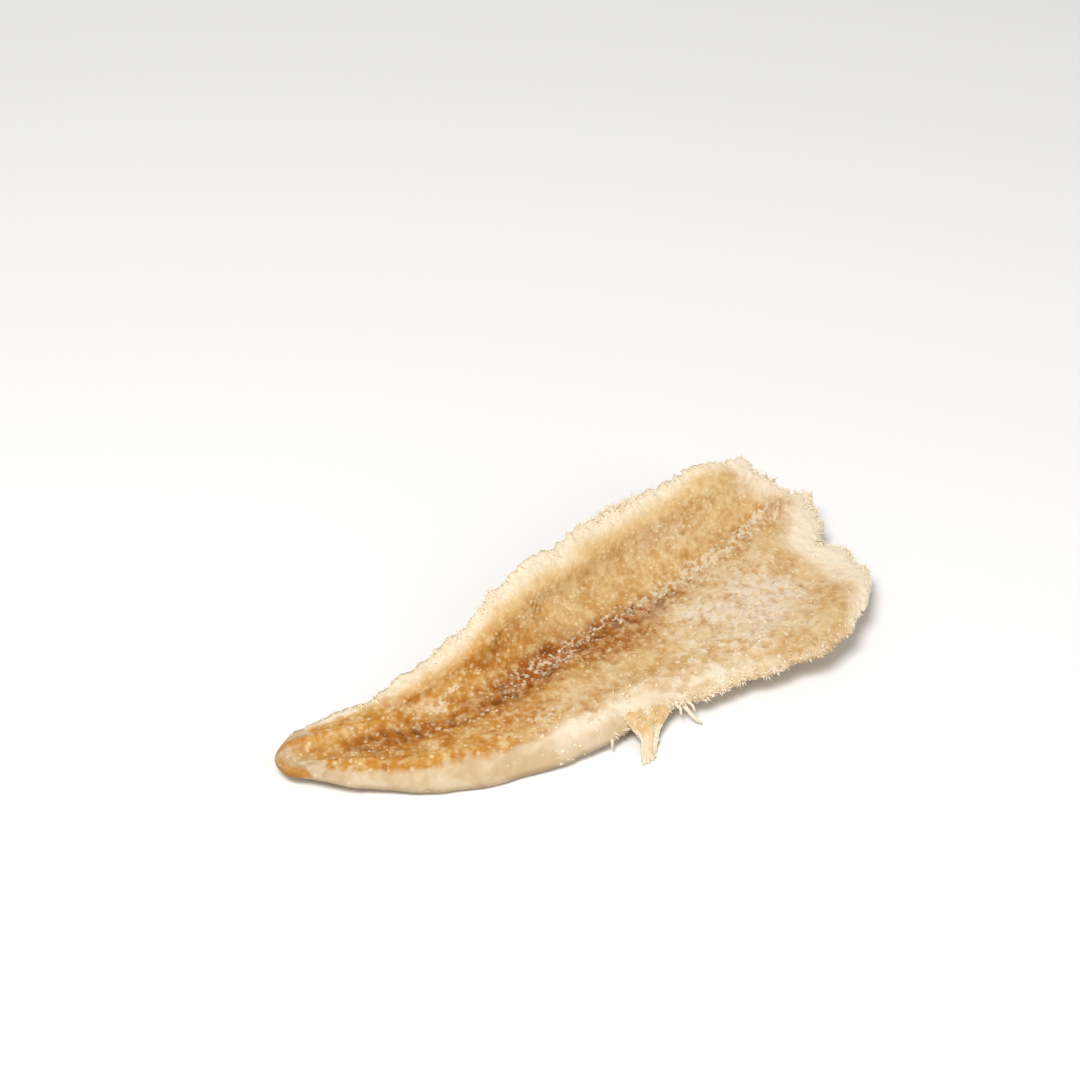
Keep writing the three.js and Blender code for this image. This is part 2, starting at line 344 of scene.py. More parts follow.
# Painted shade: browner along the very near edge from about three quarters of the length on, where the edge
# turns down out of the light.
brown = np.clip(brown + 0.35 * ramp(0.95, 0.99, -T) * ramp(0.7, 0.8, U), 0, 1)
# Crevices and pits along the seam: sunk into the relief, and coloured deep brown in the shader as painted
# shade, darker than the seam's own brown.
shaded_crevice = 0.9 * bump(0, 0.6, distance_mm(0.765, 0.46, FAR_WIDTH_MM))
shaded_crevice += 0.9 * bump(0, 0.6, distance_mm(0.875, -0.49, NEAR_WIDTH_MM))
pits = ramp(-0.05, 0.40, wander(1.35, 26) + 0.45 * wander(0.6, 27))
shaded_crevice += pits * ramp(0.2, 0.75, seam + 0.35 * far_patch)
grey = ramp(0.60, 0.76, U + drift) * (1 - 0.85 * ramp(0.80, 0.92, U)) * bump(-0.47, 0.34, T + drift)
grey = grey + 0.30 * patch(0.45, 0.07, -0.62, 0.13) + 0.30 * patch(0.80, 0.07, -0.45, 0.18)
grey = grey + 0.22 * patch(0.74, 0.07, 0.6, 0.25, 0)
grey = np.clip(1.5 * grey * (0.75 + 0.40 * wander(4.0, 28)), 0, 1)
dust_line = along([0.3, 0.45, 0.55, 0.65, 0.75, 0.85, 0.96],
                  [-0.14, -0.08, -0.04, -0.07, 0.0, 0.08, 0.24])
dust = along([0, 0.3, 0.36, 0.45, 0.51, 0.56, 0.63, 0.75, 0.85, 0.93, 0.97, 1],
             [0, 0.0, 0.12, 0.34, 0.14, 0.16, 0.24, 0.50, 0.45, 0.45, 0.0, 0])
dust = dust * bump(0, 1.9, (T - dust_line) * side_mm + 0.8 * wander(3.0, 29))
dust += 0.8 * patch(0.235, 0.018, -0.02, 0.10) + 0.7 * patch(0.265, 0.012, 0.28, 0.12, 0)
dust += 0.6 * patch(0.36, 0.02, -0.66, 0.08, 0)
fleck_ring = bump(1.5, 0.7, distance_mm(0.555, 0.42, FAR_WIDTH_MM))
dust += 0.7 * fleck_ring * ramp(-0.4, 0.4, wander(1.6, 54))
dust = np.clip(dust, 0, 1)

# Swellings of the drying flesh and its grain, mm along the surface normal.
coarse = 0.22 + 0.5 * grey + 0.78 * np.clip(seam + dust, 0, 1) + 0.4 * ridge + 0.5 * torn_end + 0.3 * rim
grain = 0.5 * wander(0.95, 32) + 0.35 * wander(0.6, 33) + 0.35 * (0.4 - np.abs(wander(1.7, 31)))
relief = 0.30 * wander(8.0, 30) + 0.16 * wander(3.4, 36) + 0.40 * coarse * grain - 0.30 * shaded_crevice
relief += 0.40 * ridge * (0.7 + wander(1.5, 34))
relief += 0.12 * rim * wander(0.85, 35)
relief *= (1 - 0.7 * flank) * (1 - 0.3 * tail_tip)
relief *= rounding(1 - np.abs(T), 0.02) * np.minimum(rounding(1 - U, 0.008), rounding(U, 0.008))
relief += 0.35 * bump(2.0, 0.7, fold) - 0.50 * bump(0, 1.2, fold)
flesh_mm = flesh_mm + relief[..., None] * grid_normals(flesh_mm)

skin_relief = 0.10 * lumps(skin_mm.reshape(-1, 3), 5.0, 41).reshape(U.shape)
skin_relief *= ramp(0, 0.6, skin_mm[..., 2]) * rounding(1 - np.abs(T), 0.1)
skin_mm = skin_mm - skin_relief[..., None] * grid_normals(skin_mm)


# How thickly salt, crumbs and frayed fibres sit at each place, 1 for the usual amount.
patchy = ramp(-0.5, 0.7, wander(5.0, 50)) + 0.25
salting = patchy * (1 - 0.4 * seam) * (1 - 0.8 * flank) * (1 - 0.7 * tail_tip)
salting = salting * (1 - 0.5 * rim) * (1 - 0.5 * torn_end)
border = np.maximum(ramp(0.93, 0.99, T), ramp(0.975, 0.992, U))
tufts = 0.25 + ramp(-0.1, 0.5, wander(4.5, 51)) + 2.0 * bump(0.66, 0.05, U) * (T > 0)
near_edge = ramp(0.95, 0.99, -T) * ramp(0.42, 0.5, U) * (1 - 0.75 * ramp(0.70, 0.80, U))
crumbing = 0.3 * border * tufts * (1 - 0.7 * bump(0.25, 0.12, U)) + 0.5 * ridge * patchy + 0.4 * near_edge
crumbing = np.clip(crumbing, 0, 3)
fraying = ramp(0.965, 0.99, T) * tufts + ramp(0.982, 0.995, U) * (0.4 + tufts) * ramp(-0.9, -0.5, T)
fraying = np.clip(fraying + 0.3 * ridge * tufts + near_edge, 0, 3)
tufting = ramp(0.97, 0.99, T) * (bump(0.665, 0.04, U) + 0.15 * ramp(0.1, 0.5, wander(4.5, 51)))
tufting += 0.6 * ramp(0.984, 0.995, U) * ramp(-0.75, -0.5, T) * ramp(-0.1, 0.4, wander(2.5, 52))
stranding = np.clip(0.9 * seam * ramp(-0.2, 0.3, wander(2.6, 53)) + 0.7 * dust + 0.3 * grey, 0, 1.5)


def woven_mesh(name, top, bottom, attributes):
    """A closed mesh from a fine top grid and a bottom grid that keeps every second line of it. Both
    share the border, so that the bottom's outer faces also take the border's points in between."""
    rows, columns = top.shape[:2]
    top_index = np.arange(rows * columns).reshape(rows, columns)
    coarse = np.full((rows, columns), -1)
    inner = []
    for i in range(0, rows, 2):
        for j in range(0, columns, 2):
            if i in (0, rows - 1) or j in (0, columns - 1):
                coarse[i, j] = top_index[i, j]
            else:
                coarse[i, j] = rows * columns + len(inner)
                inner.append((i, j))
    inner = np.array(inner)
    points = np.concatenate([top.reshape(-1, 3), bottom[inner[:, 0], inner[:, 1]]])
    faces = []
    for i in range(rows - 1):
        for j in range(columns - 1):
            corners = (i, j), (i + 1, j), (i + 1, j + 1), (i, j + 1)
            faces.append([top_index[corner] for corner in corners])
    for i in range(0, rows - 1, 2):
        for j in range(0, columns - 1, 2):
            face = [coarse[i, j]]
            if i == 0:
                face.append(top_index[0, j + 1])
            face.append(coarse[i, j + 2])
            if j + 2 == columns - 1:
                face.append(top_index[i + 1, columns - 1])
            face.append(coarse[i + 2, j + 2])
            if i + 2 == rows - 1:
                face.append(top_index[rows - 1, j + 1])
            face.append(coarse[i + 2, j])
            if j == 0:
                face.append(top_index[i + 1, 0])
            faces.append(face)
    mesh = bpy.data.meshes.new(name)
    mesh.from_pydata((points * MM).tolist(), [], [[int(v) for v in face] for face in faces])
    for label, (over, under) in attributes.items():
        layer = mesh.attributes.new(label, "FLOAT", "POINT")
        values = np.concatenate([over.ravel(), under[inner[:, 0], inner[:, 1]]])
        layer.data.foreach_set("value", values.astype(np.float32))
    mesh.shade_smooth()
    mesh.update()
    return mesh


blank = np.zeros_like(U)
fillet_mesh = woven_mesh("fillet", flesh_mm, skin_mm, {
    "rim": (rim, blank),
    "flank": (flank, blank),
    "tail_tip": (tail_tip, blank),
    "tip_amber": (tip_amber, blank),
    "torn_end": (torn_end, blank),
    "deep": (deep, blank),
    "brown": (brown, blank),
    "shaded_crevice": (shaded_crevice, blank),
    "grey": (grey, blank),
    "dust": (dust, blank),
    "ridge": (ridge, blank),
    "grain": (grain, blank),
    "skin_side": (blank, blank + 1),
    "salting": (salting, 0.3 * ramp(0.4, 1.5, skin_mm[..., 2])),
    "crumbing": (crumbing, blank),
    "fraying": (fraying, blank),
    "tufting": (tufting, blank),
    "stranding": (stranding, blank),
})
fillet = bpy.data.objects.new("fillet", fillet_mesh)
bpy.context.scene.collection.objects.link(fillet)


class Finish:
    """A material under construction: short calls that add and wire its nodes."""

    def __init__(self, name):
        self.material = bpy.data.materials.new(name)
        self.material.use_nodes = True
        self.tree = self.material.node_tree
        self.tree.nodes.clear()
        self.output = self.tree.nodes.new("ShaderNodeOutputMaterial")
        self.shader = self.tree.nodes.new("ShaderNodeBsdfPrincipled")
        self.link(self.shader.outputs["BSDF"], self.output.inputs["Surface"])
        self.place = self.tree.nodes.new("ShaderNodeTexCoord").outputs["Object"]

    def link(self, source, socket):
        if hasattr(source, "is_output"):
            self.tree.links.new(source, socket)
        else:
            socket.default_value = source

    def node(self, kind, settings=None, **inputs):
        made = self.tree.nodes.new(kind)
        for key, value in (settings or {}).items():
            setattr(made, key, value)
        for key, value in inputs.items():
            self.link(value, made.inputs[key.replace("_", " ")])
        return made

    def attribute(self, label):
        return self.node("ShaderNodeAttribute", {"attribute_name": label}).outputs["Fac"]

    def noise(self, size_mm, detail=2.0, rough=0.5, warp=0.0):
        """Cloudy mottling from 0 to 1, with clouds about size_mm across."""
        scaled = self.node("ShaderNodeTexNoise", None, Vector=self.place, Scale=1 / (size_mm * MM),
                           Detail=detail, Roughness=rough, Distortion=warp)
        return scaled.outputs["Fac"]

    def cells(self, size_mm, feature="F1", part="Distance"):
        made = self.node("ShaderNodeTexVoronoi", {"feature": feature}, Vector=self.place,
                         Scale=1 / (size_mm * MM))
        return made.outputs[part]

    def math(self, kind, a, b=0.0):
        made = self.tree.nodes.new("ShaderNodeMath")
        made.operation = kind
        self.link(a, made.inputs[0])
        self.link(b, made.inputs[1])
        return made.outputs[0]

    def span(self, value, low, high, to_low=0.0, to_high=1.0):
        """Turns a value that runs from low to high into one that runs smoothly from to_low to to_high."""
        made = self.tree.nodes.new("ShaderNodeMapRange")
        made.interpolation_type = "SMOOTHSTEP"
        for socket, amount in zip(made.inputs, (value, low, high, to_low, to_high)):
            self.link(amount, socket)
        return made.outputs["Result"]

    def mix(self, share, first, second, blend="MIX"):
        made = self.tree.nodes.new("ShaderNodeMix")
        made.data_type = "RGBA"
        made.blend_type = blend
        made.clamp_factor = True
        self.link(share, made.inputs["Factor"])
        colours = [socket for socket in made.inputs if socket.type == "RGBA"]
        self.link(first, colours[0])
        self.link(second, colours[1])
        return next(socket for socket in made.outputs if socket.type == "RGBA")


def paint(red, green, blue):
    """A colour as it is read off a paint card, 0 to 255, made linear for the shader."""
    shares = np.array([red, green, blue]) / 255
    linear = np.where(shares <= 0.04045, shares / 12.92, ((shares + 0.055) / 1.055) ** 2.4)
    return (*linear.tolist(), 1.0)


def flesh_colour(finish):
    """The colour of the fillet at each place: amber flesh, brown seam, pale rims, beige flank and skin,
    with painted shade in the crevices, in the grain's hollows and along the near edge, and painted light on
    the grain's peaks and high on the far wall. Also gives the height of the fine grain, raised where the
    mottling is paler."""
    broad = finish.noise(6, 3, 0.55, 0.5)
    middle = finish.noise(1.7, 3, 0.6, 0.4)
    fine = finish.noise(0.75, 2, 0.6)
    flecks = finish.node("ShaderNodeTexVoronoi", None, Vector=finish.place, Scale=1 / (1.3 * MM))
    chosen = finish.node("ShaderNodeSeparateColor", None, Color=flecks.outputs["Color"]).outputs["Red"]
    fleck = finish.math("MULTIPLY", finish.span(flecks.outputs["Distance"], 0.12, 0.42, 1, 0),
                        finish.span(chosen, 0.35, 0.95))

    plain_amber = finish.mix(finish.span(broad, 0.36, 0.62), paint(194, 147, 80), paint(208, 174, 119))
    deep_amber = finish.mix(finish.span(broad, 0.36, 0.62), paint(182, 118, 40), paint(197, 142, 60))
    colour = finish.mix(finish.attribute("deep"), plain_amber, deep_amber)
    colour = finish.mix(finish.span(middle, 0.30, 0.48, 0.3, 0), colour, paint(174, 116, 50))
    blotch = finish.noise(4.5, 2, 0.5, 0.6)
    colour = finish.mix(finish.span(blotch, 0.52, 0.68, 0, 0.35), colour, paint(226, 202, 156))
    colour = finish.mix(finish.span(middle, 0.50, 0.72, 0, 0.55), colour, paint(224, 200, 152))
    brown_share = finish.math("MULTIPLY", finish.attribute("brown"),
                              finish.span(middle, 0.3, 0.7, 1.2, 0.7))
    colour = finish.mix(finish.span(brown_share, 0.0, 1.0), colour, paint(154, 88, 24))
    # Painted shade: the crevices and pits darkened to deep brown.
    shaded_crevice = finish.math("MULTIPLY", finish.attribute("shaded_crevice"), finish.span(fine, 0.3, 0.6, 0.85, 0.5))
    colour = finish.mix(shaded_crevice, colour, paint(108, 56, 12))
    grey_share = finish.math("MULTIPLY", finish.attribute("grey"),
                             finish.span(middle, 0.35, 0.60, 0.35, 1.1))
    colour = finish.mix(grey_share, colour, paint(221, 205, 182))
    fleck_share = finish.math("MULTIPLY", fleck, finish.span(finish.attribute("brown"), 0, 1, 0.7, 0.3))
    colour = finish.mix(fleck_share, colour, paint(236, 216, 170))
    dust = finish.attribute("dust")
    crumbly = finish.math("ADD", finish.noise(1.0, 2, 0.5, 0.5), finish.math("MULTIPLY", dust, 0.22))
    dust_share = finish.math("MULTIPLY", finish.span(dust, 0.02, 0.15, 0, 0.85),
                             finish.span(crumbly, 0.53, 0.68))
    colour = finish.mix(dust_share, colour, paint(218, 201, 173))
    # Painted light and shade of the grain: paler on its peaks, darker in its hollows.
    high = finish.span(finish.attribute("grain"), 0.0, 0.6, 0, 0.35)
    colour = finish.mix(high, colour, paint(228, 204, 160))
    low = finish.span(finish.attribute("grain"), -0.5, 0.0, 0.25, 0)
    colour = finish.mix(low, colour, paint(184, 126, 66), "MULTIPLY")

    cream = finish.mix(finish.span(finish.attribute("rim"), 0.5, 1.0),
                       paint(228, 196, 142), paint(237, 223, 198))
    cream = finish.mix(finish.span(fine, 0.35, 0.6, 0.25, 0), cream, paint(214, 176, 116))
    colour = finish.mix(finish.attribute("rim"), colour, cream)
    colour = finish.mix(finish.attribute("torn_end"), colour, paint(233, 217, 192))
    flank_colour = finish.mix(finish.span(broad, 0.35, 0.65), paint(202, 176, 138), paint(219, 200, 170))
    flank_colour = finish.mix(finish.span(middle, 0.35, 0.65, 0.25, 0), flank_colour, paint(190, 150, 96))
    spots = finish.span(finish.noise(4, 1), 0.60, 0.72, 0, 0.5)
    flank_colour = finish.mix(spots, flank_colour, paint(202, 156, 88))
    colour = finish.mix(finish.attribute("flank"), colour, flank_colour)
    colour = finish.mix(finish.attribute("ridge"), colour, paint(234, 220, 196))
    tip_colour = finish.mix(finish.span(middle, 0.35, 0.65), paint(190, 162, 122), paint(212, 190, 158))
    amber_share = finish.math("MULTIPLY", finish.attribute("tip_amber"),
                              finish.span(middle, 0.35, 0.6, 0.5, 1))
    tip_colour = finish.mix(amber_share, tip_colour, paint(190, 132, 58))
    colour = finish.mix(finish.attribute("tail_tip"), colour, tip_colour)

    scale_cells = finish.cells(1.5, "SMOOTH_F1")
    skin = finish.mix(finish.span(broad, 0.35, 0.65), paint(190, 168, 136), paint(206, 182, 144))
    skin = finish.mix(finish.span(scale_cells, 0.2, 0.7, 0, 0.35), skin, paint(162, 138, 106))
    skin = finish.mix(finish.span(finish.noise(14, 2), 0.55, 0.7, 0, 0.6), skin, paint(190, 146, 86))
    height = finish.math("ADD", middle, finish.math("MULTIPLY", fine, 0.5))
    height = finish.math("ADD", height, finish.math("MULTIPLY", fleck, 0.35))
    return finish.mix(finish.attribute("skin_side"), colour, skin), height


def make_translucent(finish, weight, depth_mm, reach=(1.0, 0.65, 0.35)):
    """Lets light travel depth_mm into the flesh, red the furthest."""
    finish.shader.subsurface_method = "RANDOM_WALK"
    finish.shader.inputs["Subsurface Weight"].default_value = weight
    finish.shader.inputs["Subsurface Radius"].default_value = reach
    finish.shader.inputs["Subsurface Scale"].default_value = depth_mm * MM


def dried_flesh_finish():
    finish = Finish("dried_flesh")
    colour, height = flesh_colour(finish)
    finish.link(colour, finish.shader.inputs["Base Color"])
    roughness = finish.span(finish.noise(2.4, 3, 0.6), 0.3, 0.7, 0.6, 0.85)
    finish.link(roughness, finish.shader.inputs["Roughness"])
    plain = finish.math("MAXIMUM", finish.attribute("flank"), finish.attribute("skin_side"))
    strength = finish.span(plain, 0, 1, 1.0, 0.25)
    pushed = finish.node("ShaderNodeBump", None, Strength=strength, Distance=0.30 * MM, Height=height)
    finish.link(pushed.outputs["Normal"], finish.shader.inputs["Normal"])
    make_translucent(finish, 0.12, 0.8)
    finish.shader.inputs["Specular IOR Level"].default_value = 0.15
    return finish.material


fillet.data.materials.append(dried_flesh_finish())
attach(fillet, "root")
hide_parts("fish_fillet")


# ---------------------------------------------------------------------------------------------------
# Salt: fine crystals rolled on before drying. The larger grains have half dissolved into flat beads,
# with a finer powder between them, and both sit half sunk in the flesh, sparser on the skin.
# ---------------------------------------------------------------------------------------------------

FULL_TURN = 6.283
PRESSED = 0.32                       # height of a half-dissolved grain, as a share of its width
SETTLED = (-0.3, 0.3)                # how far a grain tips from the surface, in radians


class Scatter:
    """A node tree that strews one small shape over a mesh, with named sizes and a fixed seed."""

    def __init__(self, name, seed):
        self.tree = bpy.data.node_groups.new(name, "GeometryNodeTree")
        self.seed = seed
        self.inputs = []
        self.tree.interface.new_socket("Geometry", in_out="INPUT", socket_type="NodeSocketGeometry")
        self.tree.interface.new_socket("Geometry", in_out="OUTPUT", socket_type="NodeSocketGeometry")
        self.entry = self.tree.nodes.new("NodeGroupInput")
        self.exit = self.tree.nodes.new("NodeGroupOutput")

    def size(self, name, value):
        """A named input of the tree, and the value that the modifier gives it."""
        socket = self.tree.interface.new_socket(name, in_out="INPUT", socket_type="NodeSocketFloat")
        self.inputs.append((socket.identifier, value))
        return next(out for out in self.entry.outputs if out.identifier == socket.identifier)

    def node(self, kind, settings=None, **inputs):
        made = self.tree.nodes.new(kind)
        for key, value in (settings or {}).items():
            setattr(made, key, value)
        for key, value in inputs.items():
            socket = next(s for s in made.inputs if s.name == key.replace("_", " ") and s.enabled)
            if hasattr(value, "is_output"):
                self.tree.links.new(value, socket)
            else:
                socket.default_value = value
        return made

    def math(self, kind, a, b):
        made = self.tree.nodes.new("ShaderNodeMath")
        made.operation = kind
        for value, socket in zip((a, b), made.inputs):
            if hasattr(value, "is_output"):
                self.tree.links.new(value, socket)
            else:
                socket.default_value = value
        return made.outputs[0]

    def random(self, low, high, kind="FLOAT"):
        """A random value for each grain; each call takes the next seed."""
        self.seed += 1
        made = self.node("FunctionNodeRandomValue", {"data_type": kind}, Min=low, Max=high, Seed=self.seed)
        return next(out for out in made.outputs if out.enabled)

    def strew(self, attribute, per_square_mm, shape, sizes_mm, turn=None, stretch=(0.7, 1.3)):
        """Puts shape on the mesh at a density read from an attribute, sized between two sizes. A turn, in
        radians, tips it from the surface by that much at most; without one it lies any way round."""
        density = self.size("Pieces per square metre", per_square_mm / MM ** 2)
        smallest = self.size("Smallest size", sizes_mm[0] * MM)
        largest = self.size("Largest size", sizes_mm[1] * MM)
        amount = self.node("GeometryNodeInputNamedAttribute", {"data_type": "FLOAT"}, Name=attribute)
        amount = self.math("MULTIPLY", amount.outputs["Attribute"], density)
        points = self.node("GeometryNodeDistributePointsOnFaces", {"distribute_method": "RANDOM"},
                           Mesh=self.entry.outputs["Geometry"], Density=amount, Seed=self.seed)
        overall = self.random(smallest, largest)
        shape_noise = self.random((stretch[0],) * 3, (stretch[1],) * 3, "FLOAT_VECTOR")
        scaled = self.node("ShaderNodeVectorMath", {"operation": "SCALE"},
                           Vector=shape_noise, Scale=overall)
        placed = self.node("GeometryNodeInstanceOnPoints", None, Points=points.outputs["Points"],
                           Instance=shape, Scale=scaled.outputs["Vector"])
        if turn is None:
            spin = self.node("FunctionNodeEulerToRotation", None,
                             Euler=self.random((0, 0, 0), (FULL_TURN,) * 3, "FLOAT_VECTOR"))
            spin = spin.outputs["Rotation"]
        else:
            lean = self.node("FunctionNodeEulerToRotation", None,
                             Euler=self.random((turn[0], 0, 0), (turn[1], 0, 0), "FLOAT_VECTOR"))
            around = self.node("FunctionNodeEulerToRotation", None,
                               Euler=self.random((0, 0, 0), (0, 0, FULL_TURN), "FLOAT_VECTOR"))
            spin = self.node("FunctionNodeRotateRotation", {"rotation_space": "LOCAL"},
                             Rotation=points.outputs["Rotation"], Rotate_By=around.outputs["Rotation"])
            spin = self.node("FunctionNodeRotateRotation", {"rotation_space": "LOCAL"},
                             Rotation=spin.outputs["Rotation"], Rotate_By=lean.outputs["Rotation"])
            spin = spin.outputs["Rotation"]
        self.tree.links.new(spin, placed.inputs["Rotation"])
        return placed.outputs["Instances"]

    def nub(self, flattening=1.0):
        """A twenty-sided grain, one unit across, pressed flat by the given share."""
        ball = self.node("GeometryNodeMeshIcoSphere", None, Radius=0.5, Subdivisions=1)
        pressed = self.node("GeometryNodeTransform", None, Geometry=ball.outputs["Mesh"],
                            Scale=(1, 1, flattening))
        return pressed.outputs["Geometry"]

    def make(self, name, host, instances, material):
        """Evaluates the tree on a copy of host and keeps the plain mesh that comes out."""
        solid = self.node("GeometryNodeRealizeInstances", None, Geometry=instances)
        finished = self.node("GeometryNodeSetMaterial", None, Geometry=solid.outputs["Geometry"],
                             Material=material)
        self.tree.links.new(finished.outputs["Geometry"], self.exit.inputs["Geometry"])
        piece = bpy.data.objects.new(name, host.copy())
        bpy.context.scene.collection.objects.link(piece)
        modifier = piece.modifiers.new("strewn", "NODES")
        modifier.node_group = self.tree
        for identifier, value in self.inputs:
            modifier[identifier] = value
        evaluated = piece.evaluated_get(bpy.context.evaluated_depsgraph_get())
        mesh = bpy.data.meshes.new_from_object(evaluated)
        piece.modifiers.clear()
        piece.data = mesh
        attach(piece, "root")
        return piece


def salt_finish():
    """Dull, half-clear grains that take most of their colour from the flesh they sit in."""
    finish = Finish("salt_crystals")
    clear = finish.span(finish.noise(1.3, 1), 0.35, 0.7, 0.15, 0.45)
    colour = finish.mix(clear, flesh_colour(finish)[0], paint(236, 216, 172))
    finish.link(colour, finish.shader.inputs["Base Color"])
    finish.shader.inputs["Roughness"].default_value = 0.7
    finish.shader.inputs["Specular IOR Level"].default_value = 0.3
    return finish.material


salt_material = salt_finish()

crystals = Scatter("crystals", 100)
salt_crystals = crystals.make(
    "salt_crystals", fillet_mesh,
    crystals.strew("salting", 0.30, crystals.nub(PRESSED), (0.40, 1.00), turn=SETTLED, stretch=(0.6, 1.2)),
    salt_material)

powder = Scatter("powder", 200)
salt_powder = powder.make(
    "salt_powder", fillet_mesh,
    powder.strew("salting", 0.5, powder.nub(PRESSED), (0.24, 0.48), turn=SETTLED),
    salt_material)


# ---------------------------------------------------------------------------------------------------
# Frayed flesh: where the rims and the wide end were torn, the muscle has dried into pale crumbs, short
# curled fibres and a few long ones. Loose flakes lie along the dark midline.
# ---------------------------------------------------------------------------------------------------

def pale_finish(name, least, most):
    """Flesh that has dried pale: between least and most of the way from the flesh below to cream."""
    finish = Finish(name)
    pale = finish.mix(finish.span(finish.noise(2.0, 2), 0.35, 0.65),
                      paint(238, 220, 184), paint(246, 235, 212))
    share = finish.span(finish.noise(0.9, 1), 0.3, 0.7, least, most)
    finish.link(finish.mix(share, flesh_colour(finish)[0], pale), finish.shader.inputs["Base Color"])
    finish.link(finish.span(finish.noise(0.5, 1), 0.3, 0.7, 0.6, 0.8), finish.shader.inputs["Roughness"])
    finish.shader.inputs["Sheen Weight"].default_value = 0.5
    finish.shader.inputs["Sheen Roughness"].default_value = 0.6
    return finish.material


fibre_material = pale_finish("torn_fibre", 0.75, 1.0)
flake_material = pale_finish("loose_flakes", 0.05, 0.6)

crumbs = Scatter("crumbs", 300)
frayed_crumbs = crumbs.make(
    "frayed_crumbs", fillet_mesh,
    crumbs.strew("crumbing", 3.0, crumbs.nub(), (0.20, 0.60), stretch=(0.5, 1.4)),
    fibre_material)


def fibre_shape(scatter, bend, thick):
    """One short fibre, a unit long, that starts upright and curls over to a point."""
    line = scatter.node("GeometryNodeCurveQuadraticBezier", None, Resolution=4, Start=(0, 0, -0.1),
                        Middle=(0, 0.1, 0.6), End=(0, bend, 0.95)).outputs["Curve"]
    along_it = scatter.node("GeometryNodeSplineParameter").outputs["Factor"]
    ring = scatter.node("GeometryNodeCurvePrimitiveCircle", {"mode": "RADIUS"}, Resolution=5, Radius=thick)
    tube = scatter.node("GeometryNodeCurveToMesh", None, Curve=line, Profile_Curve=ring.outputs["Curve"],
                        Scale=scatter.math("SUBTRACT", 1.08, along_it), Fill_Caps=True)
    return tube.outputs["Mesh"]


curls = Scatter("curls", 400)
frayed_fibres = curls.make(
    "frayed_fibres", fillet_mesh,
    curls.strew("fraying", 3.4, fibre_shape(curls, 0.4, 0.20), (0.3, 0.95), turn=(-1.2, 1.2),
                stretch=(0.6, 1.3)),
    fibre_material)

needles = Scatter("needles", 600)
long_fibres = needles.make(
    "long_fibres", fillet_mesh,
    needles.strew("tufting", 3.0, fibre_shape(needles, 0.25, 0.13), (0.8, 1.7), turn=(-0.9, 0.9)),
    fibre_material)

flakes = Scatter("flakes", 500)
seam_flakes = flakes.make(
    "seam_flakes", fillet_mesh,
    flakes.strew("stranding", 0.5, flakes.nub(), (0.40, 0.85), stretch=(0.4, 1.6)),
    flake_material)


# ---------------------------------------------------------------------------------------------------
# The torn membrane: a flap of the lining that tore off the near edge and dried hanging, drawn in like
# a stretched web, with its foot on the surface. A few loose threads hang beside it.
# ---------------------------------------------------------------------------------------------------

FLAP_ROOT_WIDTH_MM = 9
FLAP_THICKNESS_MM = 0.9
FLAP_REACH_MM = 7
FLAP_STATION = 0.51
FLAP_SLANT_MM = 5
FLAP_EMBED_MM = 3
FLAP_LINES_OUT = 61
FLAP_LINES_ASIDE = 33


def near_rim(station):
    """A point on the skin at the near rim, in mm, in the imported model's place."""
    point, _ = skin_points(np.array([station]), np.array([-1.0]), ragged=False)
    return point[0] + shift_mm


OUT, SIDE = np.meshgrid(
    np.linspace(0, 1, FLAP_LINES_OUT), np.linspace(-1, 1, FLAP_LINES_ASIDE), indexing="ij")
half_width = curve([0, 0.2, 0.35, 0.5, 0.65, 0.85, 1],
                   [0.66, 0.60, 0.46, 0.31, 0.22, 0.185, 0.17])(OUT) * FLAP_ROOT_WIDTH_MM
flap_root = near_rim(FLAP_STATION)
edge = np.stack([OUT.ravel() * 9, SIDE.ravel() * 2, OUT.ravel() * 0], 1)
half_width = half_width + 0.22 * lumps(edge, 0.9, 61).reshape(OUT.shape)
beyond = np.clip((OUT - 0.25) / 0.75, 0, 1)
ragged_foot = 0.8 * lumps(edge[:, [1, 0, 2]] * 1.5, 0.7, 62).reshape(OUT.shape) * ramp(0.8, 1, OUT)
flap_waves = 0.30 * np.sin(5.5 * SIDE + 1 + OUT) + 0.12 * np.sin(13 * SIDE)
flap_mm = np.stack([
    flap_root[0] - FLAP_SLANT_MM * beyond + half_width * SIDE,
    flap_root[1] + FLAP_EMBED_MM - (FLAP_REACH_MM + FLAP_EMBED_MM) * OUT - ragged_foot,
    flap_root[2] * (1 - ramp(0.2, 0.95, OUT)) + 0.9 * (1 - ramp(0.0, 0.4, OUT)) + 0.12
    + flap_waves * ramp(0.15, 0.4, OUT) * (1 - ramp(0.8, 1, OUT)),
], -1)
flap_edge = rounding(1 - np.abs(SIDE), 0.35) * np.minimum(rounding(1 - OUT, 0.08), rounding(OUT, 0.05))
flap_depth = FLAP_THICKNESS_MM * (0.75 + 0.35 * lumps(flap_mm.reshape(-1, 3), 1.1, 63).reshape(OUT.shape))
flap_mm[..., 2] = np.maximum(flap_mm[..., 2], 0)
flap_top = flap_mm + (flap_depth * flap_edge)[..., None] * np.array([0, -0.35, 1])
flap_blank = np.zeros_like(OUT)
flap_clumps = lumps(flap_mm.reshape(-1, 3), 1.6, 65).reshape(OUT.shape)
flap_rim = np.clip(0.35 + 0.55 * ramp(0.35, 0.7, OUT) + 0.3 * flap_clumps + 0.2 * np.abs(SIDE), 0, 1)
flap_crumbing = ramp(0.12, 0.25, OUT) * (0.4 + 0.6 * ramp(-0.3, 0.3, flap_clumps))
flap_crumbing *= ramp(0.3, 0.5, flap_top[..., 2])
